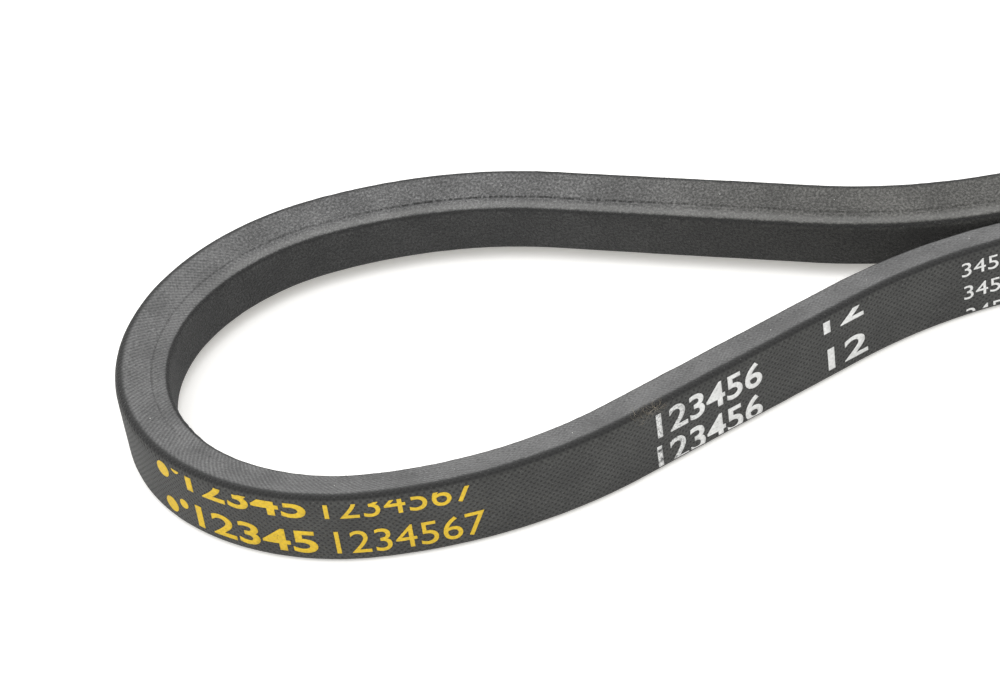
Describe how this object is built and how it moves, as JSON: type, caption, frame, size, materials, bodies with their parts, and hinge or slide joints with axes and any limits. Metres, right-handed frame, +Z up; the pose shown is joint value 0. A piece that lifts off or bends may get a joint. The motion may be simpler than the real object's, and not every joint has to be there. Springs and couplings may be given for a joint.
{
  "type": "v belt",
  "caption": "Endless wrapped classical V-belt with a fabric jacket, corded rubber core and printed back, lying squeezed at a waist into two loops.",
  "frame": {"origin": "on the resting surface, at the middle of the belt's length and width", "axes": "+X along the line of symmetry from the small loop to the large loop, +Y across the loops, +Z up out of the resting surface"},
  "size_m": [0.462, 0.17, 0.0118],
  "materials": {
    "outer_jacket_fabric": "rubberised bias-cut woven fabric, dull",
    "inner_jacket_fabric": "rubberised woven fabric, dull",
    "core_rubber": "matte moulded rubber",
    "cushion_gum": "matte soft rubber",
    "cord_polyester": "twisted polyester cord",
    "yellow_film": "worn transfer film",
    "white_film": "worn transfer film"
  },
  "bodies": {
    "root": {"outer_jacket": "outer_jacket_fabric", "inner_jacket": "inner_jacket_fabric", "back_rubber": "core_rubber", "upper_cushion_gum": "cushion_gum", "tension_cord": "cord_polyester", "lower_cushion_gum": "cushion_gum", "compression_rubber": "core_rubber", "yellow_print": "yellow_film", "white_print": "white_film"}
  },
  "joints": []
}
